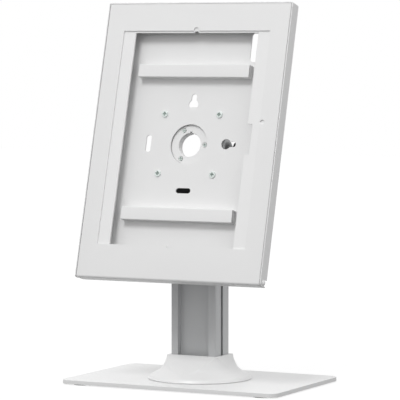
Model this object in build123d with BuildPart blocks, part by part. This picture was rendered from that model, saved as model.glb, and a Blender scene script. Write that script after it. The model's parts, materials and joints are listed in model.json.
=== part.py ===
"""Desktop stand that locks a tablet behind a steel frame, and tilts and turns it on a column."""

import os
from math import cos, radians, sin

from build123d import *

os.makedirs("parts", exist_ok=True)

# Clearances and values that many pieces share
overrun = 1.0
running_gap = 0.1
slip_gap = 0.3
bend_radius = 1.2
edge_break = 0.4

# Base plate and its feet
plate_width = 295.0
plate_depth = 187.0
plate_thickness = 5.0
plate_corner = 12.0
foot_diameter = 28.0
foot_height = 1.5
foot_side_inset = 10.5
foot_front_inset = 5.5

# Column, an aluminium extrusion with a front channel, a cable duct and two side slots
column_width = 62.2
column_depth = 37.8
column_corner = 3.4
column_length = 219.5
channel_width = 42.2
channel_depth = 8.0
column_wall = 2.5
duct_corner = 2.0
slot_mouth = 5.8
slot_lip = 2.0
slot_pocket_width = 10.0
slot_pocket_depth = 3.5
slot_setback = 1.5
port_diameter = 5.0
port_wall = 3.2

# Moulded skirt round the column's foot
skirt_diameter = 129.6
skirt_height = 30.0
skirt_rim_height = 1.6
skirt_rim_ledge = 1.6
skirt_margin = 4.6
skirt_wall = 2.4
skirt_corner_share = 0.2
skirt_round_share = 0.99
skirt_corner_power = 2.2
skirt_step_shares = (0.0, 0.1, 0.22, 0.34, 0.46, 0.6, 0.78, 1.0)
skirt_spread_shares = (0.97, 0.82, 0.61, 0.38, 0.2, 0.09, 0.035, 0.0)

# Column screws, up through the plate and down through the tilt head
base_screw_head = 10.0
base_screw_length = 22.0
head_screw_head = 8.0
head_screw_rise = 5.0
head_screw_length = 24.0
screw_socket = 3.0
screw_socket_depth = 2.5

# Tilt head, a black moulded fork on top of the column
head_block_height = 26.0
head_floor = 7.0
head_wall = 3.6
head_pocket_corner = 2.5
head_screw_seat = 4.0
spigot_length = 16.0
cable_hole = 18.0
cheek_inner = 37.0
cheek_thickness = 4.5
cheek_radius = 16.0
cheek_depth = 31.0
pivot_rise = 37.0
pivot_setback = 8.0

# Side pivots: bolts, washers, a hand knob and a clamping lever
bolt_diameter = 8.0
bolt_head_width = 13.0
bolt_head_height = 3.5
nylon_washer_diameter = 26.0
nylon_washer_thickness = 0.5
steel_washer_diameter = 20.0
steel_washer_thickness = 1.5
knob_diameter = 28.0
knob_height = 13.0
knob_lobes = 8
knob_scallop = 7.0
knob_scallop_reach_share = 0.56
knob_edge = 1.5
bolt_reach_share = 0.75
lever_boss_diameter = 18.0
lever_tip_diameter = 12.0
lever_thickness = 7.2
lever_reach = 32.5
lever_lean = 27.0

# Tilt bracket, a folded steel yoke between the side pivots and the hub
tilt = 15.0
bracket_sheet = 3.0
bracket_bend = 3.0
web_radius = 28.0
ear_radius = 16.0
ear_above_hub = 18.0
ear_below_hub = 32.0
axis_below_hub = 23.4
axis_behind_web = 39.2

# Hub that the mounting plate turns on
hub_bore = 30.0
hub_tail_diameter = 36.0
hub_barrel_diameter = 45.8
hub_flange_diameter = 49.4
hub_flange_thickness = 1.0
hub_tail_length = 3.0
hub_key_width = 3.0
hub_key_depth = 1.6
hub_screw_circle = 41.0
hub_screw_count = 3
hub_screw_diameter = 4.0
hub_screw_head = 7.0
friction_ring_thickness = 0.5
stop_pin_diameter = 4.0
stop_pin_radius = 32.0
stop_turn = 90.0

# Mounting plate behind the enclosure
vesa_pitch = 75.0
vesa_plate_margin = 7.2
vesa_plate_corner = 4.0
vesa_plate_thickness = 2.0
vesa_dish_diameter = 51.0
vesa_dish_depth = 3.0
vesa_screw_diameter = 4.0
vesa_screw_head = 8.4
vesa_screw_rise = 2.0
nut_width = 7.0
nut_height = 3.0
cross_width = 1.1
cross_length = 4.6
cross_depth = 1.2

# Enclosure tray
tray_width = 253.5
tray_top = 175.4
tray_depth = 17.7
tray_back_thickness = 1.5
tray_wall = 1.2
tray_front_setback = 0.4
tray_corner = 2.0
tray_wall_end = 164.5
tray_back_end = 160.5
tray_bottom = 173.2
hub_hole = 50.0
keyhole_diameter = 13.0
keyhole_slot = 6.2
keyhole_reach = 13.4
side_keyhole_x = 52.4
side_keyhole_y = 1.0
top_keyhole_y = 49.1
side_slot_x = 54.3
side_slot_length = 22.0
side_slot_width = 5.5
low_slot_y = 58.2
low_slot_length = 20.0
low_slot_width = 6.7
camera_window = 36.0
camera_window_x = 87.5
camera_window_y = 122.3
camera_window_corner = 3.8

# Hinged front cover
cover_sheet = 1.5
cover_gap = 0.8
cover_side_flange = 11.0
cover_bottom_flange = 17.5
cover_front_bend = 3.0
opening_width = 202.0
opening_top = 139.35
opening_bottom = 130.5
opening_corner = 0.8
camera_notch = 6.0
camera_notch_rise = 0.7
low_notch_width = 9.4
low_notch_depth = 3.0
sensor_hole = 6.2
sensor_hole_x = 104.0
sensor_hole_y = 25.3
hinge_height = 4.3
hinge_depth = 7.5
hinge_pin = 4.0
rivet_head = 7.8
rivet_head_rise = 1.3
rivet_tail = 5.0
rivet_tail_rise = 1.0

# Strips beside the tablet
strip_inner_x = 84.5
strip_outer_x = 120.0
strip_thickness = 2.5
strip_top = 152.0
strip_bottom = 142.0
strip_notch_depth = 6.5
strip_notch_low = 14.7
strip_notch_high = 23.2

# Bars that the tablet rests on
bar_length = 152.0
bar_width = 16.0
bar_offset = 90.0
bar_front_depth = 5.0
bar_sheet = 1.2
bar_screw_x = 52.0
bar_post_diameter = 9.0
bar_screw_diameter = 3.0
bar_screw_head = 6.0
bar_screw_rise = 1.8
bar_screw_grip = 7.0

# Cam lock
lock_x = 40.0
lock_y = 153.5
lock_barrel_diameter = 16.0
lock_barrel_front = 6.0
lock_head_diameter = 20.0
lock_head_rise = 3.0
lock_nut_width = 19.0
lock_nut_height = 3.0
plug_diameter = 11.0
plug_recess = 0.3
key_slot_width = 2.0
key_slot_length = 7.0
key_slot_depth = 8.0
cam_thickness = 1.8
cam_width = 10.0
cam_reach = 14.5
cam_screw_diameter = 3.0
cam_screw_head = 5.6
cam_screw_rise = 1.3
cam_screw_length = 6.0
strike_width = 12.0
strike_sheet = 1.2
strike_lip = 7.0

# Levels and places worked out from the sizes above
plate_top = foot_height + plate_thickness
column_top = plate_top + column_length
block_top = column_top + head_block_height
pivot_height = column_top + pivot_rise
cheek_outer = cheek_inner + cheek_thickness
ear_inner = cheek_outer + nylon_washer_thickness
ear_outer = ear_inner + bracket_sheet
knob_seat = ear_outer + steel_washer_thickness
port_x = column_width / 2 - port_wall - port_diameter / 2
port_y = column_depth / 2 - port_wall - port_diameter / 2
duct_front = channel_depth + column_wall - column_depth / 2
duct_back = column_depth / 2 - column_wall
duct_middle = (duct_front + duct_back) / 2

# Depths behind the panel's front face, and the mounting plate's size
vesa_plate_size = vesa_pitch + 2 * vesa_plate_margin
back_inner = tray_depth - tray_back_thickness
vesa_rear = tray_depth + vesa_plate_thickness
dish_front = tray_depth + vesa_dish_depth
dish_rear = dish_front + vesa_plate_thickness
flange_rear = dish_front - friction_ring_thickness
hub_face = flange_rear - hub_flange_thickness
web_front = dish_rear + friction_ring_thickness
web_rear = web_front + bracket_sheet
axis_depth = web_front + axis_behind_web
hub_rear = web_rear + hub_tail_length

# The panel's own frame: x across, y up along the sheet, z out of its front face
lean_y = sin(radians(tilt))
lean_z = cos(radians(tilt))
panel_y = pivot_setback + axis_below_hub * lean_y - axis_depth * lean_z
panel_z = pivot_height + axis_below_hub * lean_z + axis_depth * lean_y
panel = Plane(origin=(0, panel_y, panel_z), x_dir=(1, 0, 0), z_dir=(0, -lean_z, lean_y))
panel_up = Axis(panel.origin, panel.y_dir)
panel_out = Axis(panel.origin, panel.z_dir)


def behind(depth):
    """Plane along the panel, this far behind its front face."""
    return panel.offset(-depth)


def facing_back(depth):
    """The same plane seen from behind: its normal points to the rear."""
    origin = panel.from_local_coords((0, 0, -depth))
    return Plane(origin=origin, x_dir=(-1, 0, 0), z_dir=(0, lean_z, -lean_y))


def side_on(x):
    """Plane across the panel at this x: its x runs backwards, its y up along the sheet."""
    origin = panel.from_local_coords((x, 0, 0))
    return Plane(origin=origin, x_dir=(0, lean_z, -lean_y), z_dir=(1, 0, 0))


# Base plate, countersunk from beneath for the column's screws
underside = Plane(origin=(0, 0, foot_height), x_dir=(1, 0, 0), z_dir=(0, 0, -1))

with BuildPart() as base_plate:
    with BuildSketch(Plane.XY.offset(foot_height)):
        RectangleRounded(plate_width, plate_depth, plate_corner)
    extrude(amount=plate_thickness)
    fillet(base_plate.edges().group_by(Axis.Z)[-1], edge_break)
    with Locations(underside):
        with GridLocations(2 * port_x, 2 * port_y, 2, 2):
            CounterSinkHole(port_diameter / 2 + slip_gap, base_screw_head / 2 + slip_gap, plate_thickness)

with BuildPart() as rubber_feet:
    foot_pitch_x = plate_width - 2 * foot_side_inset - foot_diameter
    foot_pitch_y = plate_depth - 2 * foot_front_inset - foot_diameter
    with BuildSketch():
        with GridLocations(foot_pitch_x, foot_pitch_y, 2, 2):
            Circle(foot_diameter / 2)
    extrude(amount=foot_height)
    chamfer(rubber_feet.edges().group_by(Axis.Z)[0], edge_break)

# Column extrusion
with BuildPart() as column_profile:
    with BuildSketch(Plane.XY.offset(plate_top)):
        RectangleRounded(column_width, column_depth, column_corner)
        with Locations((0, (channel_depth - column_depth) / 2)):
            Rectangle(channel_width, channel_depth, mode=Mode.SUBTRACT)
        with Locations((0, duct_middle)):
            RectangleRounded(channel_width, duct_back - duct_front, duct_corner, mode=Mode.SUBTRACT)
        with GridLocations(column_width - slot_lip, 0, 2, 1):
            with Locations((0, -slot_setback)):
                Rectangle(slot_lip, slot_mouth, mode=Mode.SUBTRACT)
        with GridLocations(column_width - 2 * slot_lip - slot_pocket_depth, 0, 2, 1):
            with Locations((0, -slot_setback)):
                Rectangle(slot_pocket_depth, slot_pocket_width, mode=Mode.SUBTRACT)
        with GridLocations(2 * port_x, 2 * port_y, 2, 2):
            Circle(port_diameter / 2, mode=Mode.SUBTRACT)
    extrude(amount=column_length)


def skirt_level(height_share):
    """Plane at this share of the way from the rim to the top of the skirt."""
    return Plane.XY.offset(plate_top + skirt_rim_height + height_share * (skirt_height - skirt_rim_height))


def skirt_outline(height_share, spread_share, wall):
    """One level of the skirt: a rectangle at the top whose corners grow until it is a circle."""
    radius = skirt_diameter / 2 - skirt_rim_ledge
    top_width = column_width / 2 + skirt_margin
    top_depth = column_depth / 2 + skirt_margin
    half_width = top_width + (radius - top_width) * spread_share
    half_depth = top_depth + (radius - top_depth) * spread_share
    flat_share = (skirt_round_share - skirt_corner_share) * height_share**skirt_corner_power
    corner = half_depth * (skirt_round_share - flat_share)
    RectangleRounded(2 * (half_width - wall), 2 * (half_depth - wall), corner - wall)


# Skirt: a hollow moulding that stands on its round rim and closes round the column at its top
with BuildPart() as column_skirt:
    for step_share, spread_share in zip(skirt_step_shares, skirt_spread_shares):
        with BuildSketch(skirt_level(step_share)):
            skirt_outline(step_share, spread_share, 0)
    loft()
    with BuildSketch(Plane.XY.offset(plate_top)):
        Circle(skirt_diameter / 2)
    extrude(amount=skirt_rim_height)
    for step_share, spread_share in zip(skirt_step_shares, skirt_spread_shares):
        with BuildSketch(skirt_level(step_share).offset(-skirt_wall)):
            skirt_outline(step_share, spread_share, skirt_wall)
    loft(mode=Mode.SUBTRACT)
    with BuildSketch(Plane.XY.offset(plate_top)):
        Circle(skirt_diameter / 2 - skirt_rim_ledge - skirt_wall)
    extrude(amount=skirt_rim_height, mode=Mode.SUBTRACT)
    with BuildSketch(Plane.XY.offset(plate_top)):
        RectangleRounded(column_width + 2 * slip_gap, column_depth + 2 * slip_gap, column_corner + slip_gap)
    extrude(amount=skirt_height + overrun, mode=Mode.SUBTRACT)

# Column screws beneath the plate
with BuildPart() as column_base_screws:
    cone_height = (base_screw_head - port_diameter) / 2
    with BuildSketch(Plane.XY.offset(foot_height + slip_gap)):
        with GridLocations(2 * port_x, 2 * port_y, 2, 2):
            Circle(base_screw_head / 2)
    extrude(amount=cone_height, taper=45)
    with BuildSketch(Plane.XY.offset(foot_height + slip_gap)):
        with GridLocations(2 * port_x, 2 * port_y, 2, 2):
            Circle(port_diameter / 2)
    extrude(amount=base_screw_length)
    with BuildSketch(Plane.XY.offset(foot_height + slip_gap)):
        with GridLocations(2 * port_x, 2 * port_y, 2, 2):
            RegularPolygon(screw_socket / 2, 6, major_radius=False)
    extrude(amount=screw_socket_depth, mode=Mode.SUBTRACT)

# Tilt head: a pocketed block over the column, with a cheek at each side
with BuildPart() as tilt_head:
    with BuildSketch(Plane.XY.offset(column_top)):
        RectangleRounded(2 * cheek_outer, column_depth, column_corner)
    extrude(amount=head_block_height)
    for cheek_side in (-cheek_outer, cheek_inner):
        with BuildSketch(Plane.YZ.offset(cheek_side)):
            with Locations((pivot_setback, pivot_height)):
                Circle(cheek_radius)
            with Locations((column_depth / 2 - cheek_depth / 2, column_top + head_block_height / 2)):
                Rectangle(cheek_depth, head_block_height)
            make_hull()
        extrude(amount=cheek_thickness)
    with BuildSketch(Plane.XY.offset(column_top + head_floor)):
        RectangleRounded(2 * cheek_inner, column_depth - 2 * head_wall, head_pocket_corner)
    extrude(amount=head_block_height, mode=Mode.SUBTRACT)
    with BuildSketch(Plane.XY.offset(column_top)):
        with Locations((0, duct_middle)):
            RectangleRounded(
                channel_width - 2 * slip_gap, duct_back - duct_front - 2 * slip_gap, duct_corner
            )
    extrude(amount=-spigot_length)
    with BuildSketch(Plane.XY.offset(column_top - spigot_length)):
        with Locations((0, duct_middle)):
            Circle(cable_hole / 2)
    extrude(amount=spigot_length + head_floor, mode=Mode.SUBTRACT)
    with Locations(Plane.XY.offset(block_top)):
        with GridLocations(2 * port_x, 2 * port_y, 2, 2):
            CounterBoreHole(
                port_diameter / 2 + running_gap,
                head_screw_head / 2 + slip_gap,
                head_block_height - head_screw_seat,
                head_block_height,
            )
    with BuildSketch(Plane.YZ.offset(-cheek_outer - overrun)):
        with Locations((pivot_setback, pivot_height)):
            Circle(bolt_diameter / 2 + running_gap)
    extrude(amount=2 * (cheek_outer + overrun), mode=Mode.SUBTRACT)
    cheek_rims = tilt_head.faces().filter_by(Axis.X).group_by(Axis.X)
    chamfer(cheek_rims[0].edges().filter_by(GeomType.CIRCLE).sort_by(SortBy.RADIUS)[-1], edge_break)
    chamfer(cheek_rims[-1].edges().filter_by(GeomType.CIRCLE).sort_by(SortBy.RADIUS)[-1], edge_break)

with BuildPart() as tilt_head_screws:
    with BuildSketch(Plane.XY.offset(column_top + head_screw_seat)):
        with GridLocations(2 * port_x, 2 * port_y, 2, 2):
            Circle(head_screw_head / 2)
    extrude(amount=head_screw_rise)
    with BuildSketch(Plane.XY.offset(column_top + head_screw_seat)):
        with GridLocations(2 * port_x, 2 * port_y, 2, 2):
            Circle(port_diameter / 2)
    extrude(amount=-head_screw_length)
    with BuildSketch(Plane.XY.offset(column_top + head_screw_seat + head_screw_rise)):
        with GridLocations(2 * port_x, 2 * port_y, 2, 2):
            RegularPolygon(screw_socket / 2, 6, major_radius=False)
    extrude(amount=-screw_socket_depth, mode=Mode.SUBTRACT)

# Tilt bracket: its ears run down and back from the web to the pivots
with BuildPart() as tilt_bracket:
    with BuildSketch(side_on(-ear_outer)):
        with Locations((axis_depth, -axis_below_hub)):
            Circle(ear_radius)
        with Locations((web_front + bracket_sheet / 2, (ear_above_hub - ear_below_hub) / 2)):
            Rectangle(bracket_sheet, ear_above_hub + ear_below_hub)
        make_hull()
    extrude(amount=2 * ear_outer)
    with BuildSketch(behind(web_rear)):
        Rectangle(2 * ear_inner, 2 * (axis_below_hub + ear_radius + overrun))
    extrude(amount=-(axis_behind_web + ear_radius), mode=Mode.SUBTRACT)
    bend_edges = tilt_bracket.edges().filter_by(panel_up).group_by(panel_out)
    fillet(bend_edges[-1], bracket_bend)
    with BuildSketch(behind(web_front)):
        Circle(web_radius)
    extrude(amount=-bracket_sheet)
    with BuildSketch(behind(web_front)):
        Circle(hub_tail_diameter / 2 + running_gap)
        with PolarLocations(hub_screw_circle / 2, hub_screw_count):
            Circle(hub_screw_diameter / 2)
        with PolarLocations(stop_pin_radius, 1, start_angle=-stop_turn / 2):
            Circle(stop_pin_diameter / 2)
    extrude(amount=-bracket_sheet, mode=Mode.SUBTRACT)
    with BuildSketch(side_on(-ear_outer - overrun)):
        with Locations((axis_depth, -axis_below_hub)):
            Circle(bolt_diameter / 2 + running_gap)
    extrude(amount=2 * (ear_outer + overrun), mode=Mode.SUBTRACT)

# Side pivots
with BuildPart() as pivot_bolts:
    bolt_end = knob_seat + knob_height * bolt_reach_share
    head_start = cheek_inner - bolt_head_height
    for turn in (1, -1):
        with BuildSketch(Plane.YZ.offset(turn * head_start)):
            with Locations((pivot_setback, pivot_height)):
                RegularPolygon(bolt_head_width / 2, 6, major_radius=False)
        extrude(amount=turn * bolt_head_height)
        with BuildSketch(Plane.YZ.offset(turn * head_start)):
            with Locations((pivot_setback, pivot_height)):
                Circle(bolt_diameter / 2)
        extrude(amount=turn * (bolt_end - head_start))

with BuildPart() as nylon_washers:
    for turn in (1, -1):
        with BuildSketch(Plane.YZ.offset(turn * cheek_outer)):
            with Locations((pivot_setback, pivot_height)):
                Circle(nylon_washer_diameter / 2)
                Circle(bolt_diameter / 2 + running_gap, mode=Mode.SUBTRACT)
        extrude(amount=turn * nylon_washer_thickness)

with BuildPart() as pivot_washers:
    for turn in (1, -1):
        with BuildSketch(Plane.YZ.offset(turn * ear_outer)):
            with Locations((pivot_setback, pivot_height)):
                Circle(steel_washer_diameter / 2)
                Circle(bolt_diameter / 2 + running_gap, mode=Mode.SUBTRACT)
        extrude(amount=turn * steel_washer_thickness)


# Scalloped hand knob outside the left ear
with BuildPart() as left_knob:
    with BuildSketch(Plane.YZ.offset(-knob_seat)):
        with Locations((pivot_setback, pivot_height)):
            Circle(knob_diameter / 2)
            with PolarLocations(knob_diameter * knob_scallop_reach_share, knob_lobes):
                Circle(knob_scallop / 2, mode=Mode.SUBTRACT)
    extrude(amount=-knob_height)
    chamfer(left_knob.faces().sort_by(Axis.X)[0].edges(), knob_edge)
    with BuildSketch(Plane.YZ.offset(-knob_seat - knob_height)):
        with Locations((pivot_setback, pivot_height)):
            Circle(bolt_diameter)
    extrude(amount=knob_edge / 2, mode=Mode.SUBTRACT)
    with BuildSketch(Plane.YZ.offset(-knob_seat)):
        with Locations((pivot_setback, pivot_height)):
            Circle(bolt_diameter / 2 + running_gap)
    extrude(amount=-(knob_height * bolt_reach_share + slip_gap), mode=Mode.SUBTRACT)

# Clamping lever outside the right ear: a boss on the bolt and an arm that leans forward
with BuildPart() as clamp_lever:
    with BuildSketch(Plane.YZ.offset(knob_seat)):
        with Locations((pivot_setback, pivot_height)):
            Circle(lever_boss_diameter / 2)
    extrude(amount=knob_height)
    with BuildSketch(Plane.YZ.offset(knob_seat + knob_height)):
        with Locations((pivot_setback, pivot_height)):
            Circle(lever_boss_diameter / 2)
            with PolarLocations(lever_reach, 1, start_angle=90 + lever_lean):
                Circle(lever_tip_diameter / 2)
        make_hull()
    extrude(amount=-lever_thickness)
    chamfer(clamp_lever.faces().sort_by(Axis.X)[-1].edges(), knob_edge)
    with BuildSketch(Plane.YZ.offset(knob_seat)):
        with Locations((pivot_setback, pivot_height)):
            Circle(bolt_diameter / 2 + running_gap)
    extrude(amount=knob_height * bolt_reach_share + slip_gap, mode=Mode.SUBTRACT)

# Hub ring, its screws, the rings that it turns between and its stop pin
with BuildPart() as hub_ring:
    with BuildSketch(behind(hub_face)):
        Circle(hub_flange_diameter / 2)
    extrude(amount=-hub_flange_thickness)
    with BuildSketch(behind(flange_rear)):
        Circle(hub_barrel_diameter / 2)
    extrude(amount=-(web_front - flange_rear))
    with BuildSketch(behind(web_front)):
        Circle(hub_tail_diameter / 2)
    extrude(amount=-(hub_rear - web_front))
    with BuildSketch(behind(hub_face)):
        Circle(hub_bore / 2)
        with Locations((0, hub_bore / 2)):
            Rectangle(hub_key_width, 2 * hub_key_depth)
    extrude(amount=-(hub_rear - hub_face), mode=Mode.SUBTRACT)
    with Locations(behind(hub_face)):
        with PolarLocations(hub_screw_circle / 2, hub_screw_count):
            CounterSinkHole(hub_screw_diameter / 2, hub_screw_head / 2, web_front - hub_face)

with BuildPart() as hub_screws:
    with BuildSketch(behind(hub_face)):
        with PolarLocations(hub_screw_circle / 2, hub_screw_count):
            Circle(hub_screw_head / 2)
    extrude(amount=-(hub_screw_head - hub_screw_diameter) / 2, taper=45)
    with BuildSketch(behind(hub_face)):
        with PolarLocations(hub_screw_circle / 2, hub_screw_count):
            Circle(hub_screw_diameter / 2)
    extrude(amount=-(web_rear - hub_face))
    with BuildSketch(behind(hub_face)):
        with PolarLocations(hub_screw_circle / 2, hub_screw_count):
            Rectangle(cross_length, cross_width)
            Rectangle(cross_width, cross_length)
    extrude(amount=-cross_depth, mode=Mode.SUBTRACT)

with BuildPart() as friction_rings:
    ring_bore = hub_barrel_diameter / 2 + running_gap
    with BuildSketch(behind(flange_rear)):
        Circle(hub_flange_diameter / 2)
        Circle(ring_bore, mode=Mode.SUBTRACT)
    extrude(amount=-friction_ring_thickness)
    with BuildSketch(behind(dish_rear)):
        Circle(vesa_dish_diameter / 2)
        Circle(ring_bore, mode=Mode.SUBTRACT)
    extrude(amount=-friction_ring_thickness)

with BuildPart() as turn_stop_pin:
    with BuildSketch(behind(web_rear)):
        with PolarLocations(stop_pin_radius, 1, start_angle=-stop_turn / 2):
            Circle(stop_pin_diameter / 2)
    extrude(amount=web_rear - tray_depth - slip_gap)

# Mounting plate: a flat sheet with a drawn dish for the hub and an arc for the stop pin
stop_arc_start = -stop_turn * 3 / 2
stop_arc = CenterArc((0, 0), stop_pin_radius, stop_arc_start, stop_turn)

with BuildPart() as vesa_plate:
    with BuildSketch(behind(tray_depth)):
        RectangleRounded(vesa_plate_size, vesa_plate_size, vesa_plate_corner)
    extrude(amount=-vesa_plate_thickness)
    with BuildSketch(behind(tray_depth)):
        Circle(vesa_dish_diameter / 2 + vesa_plate_thickness)
    extrude(amount=-(dish_rear - tray_depth))
    with BuildSketch(behind(tray_depth)):
        Circle(vesa_dish_diameter / 2)
    extrude(amount=-vesa_dish_depth, mode=Mode.SUBTRACT)
    with BuildSketch(behind(tray_depth)):
        Circle(hub_barrel_diameter / 2 + running_gap)
    extrude(amount=-(dish_rear - tray_depth), mode=Mode.SUBTRACT)
    with BuildSketch(behind(tray_depth)):
        SlotArc(stop_arc, stop_pin_diameter + 2 * slip_gap)
        with GridLocations(vesa_pitch, vesa_pitch, 2, 2):
            Circle(vesa_screw_diameter / 2 + running_gap)
    extrude(amount=-vesa_plate_thickness, mode=Mode.SUBTRACT)

with BuildPart() as vesa_screws:
    with BuildSketch(behind(back_inner)):
        with GridLocations(vesa_pitch, vesa_pitch, 2, 2):
            Circle(vesa_screw_head / 2)
    extrude(amount=vesa_screw_rise)
    fillet(vesa_screws.edges().group_by(panel_out)[-1], vesa_screw_rise / 3)
    with BuildSketch(behind(back_inner)):
        with GridLocations(vesa_pitch, vesa_pitch, 2, 2):
            Circle(vesa_screw_diameter / 2)
    extrude(amount=-(vesa_rear + nut_height - back_inner))
    with BuildSketch(behind(back_inner - vesa_screw_rise)):
        with GridLocations(vesa_pitch, vesa_pitch, 2, 2):
            Rectangle(cross_length, cross_width)
            Rectangle(cross_width, cross_length)
    extrude(amount=-cross_depth, mode=Mode.SUBTRACT)

with BuildPart() as vesa_nuts:
    with BuildSketch(behind(vesa_rear)):
        with GridLocations(vesa_pitch, vesa_pitch, 2, 2):
            RegularPolygon(nut_width / 2, 6, major_radius=False)
            Circle(vesa_screw_diameter / 2, mode=Mode.SUBTRACT)
    extrude(amount=-nut_height)


def cut_keyhole(x, y, turn):
    """Round hole with a slot that runs out of it in the direction of turn."""
    with Locations(Location((x, y, 0), turn)):
        Circle(keyhole_diameter / 2, mode=Mode.SUBTRACT)
        with Locations((keyhole_reach / 2, 0)):
            SlotOverall(keyhole_reach, keyhole_slot, mode=Mode.SUBTRACT)


def cut_bar_pattern(radius):
    """The four places where the two bars are screwed to the tray."""
    with GridLocations(2 * bar_screw_x, 2 * bar_offset, 2, 2):
        Circle(radius, mode=Mode.SUBTRACT)


# Tray: back sheet with its holes, two side walls with hinge lugs and a top wall
wall_inner = tray_width / 2 - tray_wall
hinge_y = hinge_height - tray_bottom

with BuildPart() as back_tray:
    with BuildSketch(behind(back_inner)):
        with Locations((0, (tray_top - tray_back_end) / 2)):
            Rectangle(tray_width, tray_top + tray_back_end)
        Circle(hub_hole / 2, mode=Mode.SUBTRACT)
        with GridLocations(vesa_pitch, vesa_pitch, 2, 2):
            Circle(vesa_screw_diameter / 2 + running_gap, mode=Mode.SUBTRACT)
        cut_keyhole(side_keyhole_x, side_keyhole_y, 0)
        cut_keyhole(0, top_keyhole_y, 90)
        with Locations((-side_slot_x, 0)):
            SlotOverall(side_slot_length, side_slot_width, rotation=90, mode=Mode.SUBTRACT)
        with Locations((0, -low_slot_y)):
            SlotOverall(low_slot_length, low_slot_width, mode=Mode.SUBTRACT)
        with Locations((camera_window_x, camera_window_y)):
            RectangleRounded(camera_window, camera_window, camera_window_corner, mode=Mode.SUBTRACT)
        cut_bar_pattern(bar_screw_diameter / 2 + running_gap)
        with Locations((lock_x, lock_y)):
            Circle(lock_barrel_diameter / 2 + running_gap, mode=Mode.SUBTRACT)
    extrude(amount=-tray_back_thickness)
    for wall_side in (-tray_width / 2, wall_inner):
        with BuildSketch(side_on(wall_side)):
            with Locations(((tray_front_setback + tray_depth) / 2, (tray_top - tray_wall_end) / 2)):
                Rectangle(tray_depth - tray_front_setback, tray_top + tray_wall_end)
            with Locations((hinge_depth, hinge_y)):
                Circle(hinge_height - slip_gap)
            with Locations((hinge_depth, (hinge_y - tray_wall_end) / 2)):
                Rectangle(2 * (hinge_height - slip_gap), -hinge_y - tray_wall_end)
        extrude(amount=tray_wall)
    with BuildSketch(behind(tray_front_setback)):
        with Locations((0, tray_top - tray_wall / 2)):
            Rectangle(tray_width, tray_wall)
    extrude(amount=-(tray_depth - tray_front_setback))
    top_corners = back_tray.edges().filter_by(panel_out).group_by(panel_up)[-1]
    fillet(ShapeList([top_corners.sort_by(Axis.X)[0], top_corners.sort_by(Axis.X)[-1]]), tray_corner)
    side_bends = back_tray.edges().filter_by(panel_up).group_by(panel_out)[0]
    fillet(ShapeList([side_bends.sort_by(Axis.X)[0], side_bends.sort_by(Axis.X)[-1]]), bend_radius)
    with BuildSketch(side_on(-tray_width / 2 - overrun)):
        with Locations((hinge_depth, hinge_y)):
            Circle(hinge_pin / 2)
    extrude(amount=tray_width + 2 * overrun, mode=Mode.SUBTRACT)

# Cover: one bent sheet with the screen opening, side flanges and a bottom flange
cover_half = wall_inner - cover_gap
cover_top = tray_top - tray_wall - cover_gap
strike_top = lock_y + cam_reach + cover_gap + strike_sheet
strike_rear = lock_barrel_front + strike_sheet

with BuildPart() as front_cover:
    with BuildSketch(behind(0)):
        with Locations((0, (cover_top - tray_bottom) / 2)):
            RectangleRounded(2 * cover_half, cover_top + tray_bottom, tray_corner)
        with Locations((0, (opening_top - opening_bottom) / 2)):
            RectangleRounded(opening_width, opening_top + opening_bottom, opening_corner, mode=Mode.SUBTRACT)
        with Locations((0, opening_top + camera_notch_rise)):
            Circle(camera_notch / 2, mode=Mode.SUBTRACT)
        with Locations((0, -opening_bottom)):
            RectangleRounded(low_notch_width, 2 * low_notch_depth, low_notch_depth / 2, mode=Mode.SUBTRACT)
        with Locations((sensor_hole_x, sensor_hole_y)):
            Circle(sensor_hole / 2, mode=Mode.SUBTRACT)
    extrude(amount=-cover_sheet)
    with BuildSketch(side_on(-cover_half)):
        with Locations((cover_bottom_flange / 2, cover_sheet / 2 - tray_bottom)):
            Rectangle(cover_bottom_flange, cover_sheet)
    extrude(amount=2 * cover_half)
    for flange_side in (-cover_half, cover_half - tray_wall):
        with BuildSketch(side_on(flange_side)):
            with Locations((cover_side_flange / 2, (cover_top - tray_bottom) / 2)):
                Rectangle(cover_side_flange, cover_top + tray_bottom)
        extrude(amount=tray_wall)
    low_bend = front_cover.edges().filter_by(Axis.X).group_by(panel_up)[0].sort_by(panel_out)[-1]
    fillet(low_bend, cover_front_bend)
    front_edges = front_cover.edges().filter_by(panel_up).group_by(panel_out)[-1].sort_by(Axis.X)
    fillet(ShapeList([front_edges[0], front_edges[-1]]), bend_radius)
    with BuildSketch(side_on(-cover_half - overrun)):
        with Locations((hinge_depth, hinge_y)):
            Circle(hinge_pin / 2 + running_gap)
    extrude(amount=2 * (cover_half + overrun), mode=Mode.SUBTRACT)
    with BuildSketch(side_on(lock_x - strike_width / 2)):
        with Locations(((cover_sheet + strike_rear) / 2, strike_top - strike_sheet / 2)):
            Rectangle(strike_rear - cover_sheet, strike_sheet)
        with Locations((strike_rear - strike_sheet / 2, strike_top - strike_lip / 2)):
            Rectangle(strike_sheet, strike_lip)
    extrude(amount=strike_width)

# Hinge rivets: a domed head outside the tray's lug and a flat tail inside the cover's flange
with BuildPart() as cover_hinge_rivets:
    for turn in (1, -1):
        head_plane = side_on(turn * tray_width / 2)
        with BuildSketch(head_plane):
            with Locations((hinge_depth, hinge_y)):
                Circle(rivet_head / 2)
        extrude(amount=turn * rivet_head_rise)
        with BuildSketch(head_plane):
            with Locations((hinge_depth, hinge_y)):
                Circle(hinge_pin / 2)
        extrude(amount=-turn * (tray_width / 2 - cover_half + tray_wall + slip_gap + rivet_tail_rise))
        with BuildSketch(side_on(turn * (cover_half - tray_wall - slip_gap))):
            with Locations((hinge_depth, hinge_y)):
                Circle(rivet_tail / 2)
        extrude(amount=-turn * rivet_tail_rise)
    rim_edges = cover_hinge_rivets.edges().filter_by(GeomType.CIRCLE).sort_by(Axis.X)
    fillet(ShapeList([rim_edges[0], rim_edges[-1]]), rivet_head_rise * 2 / 3)


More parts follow.
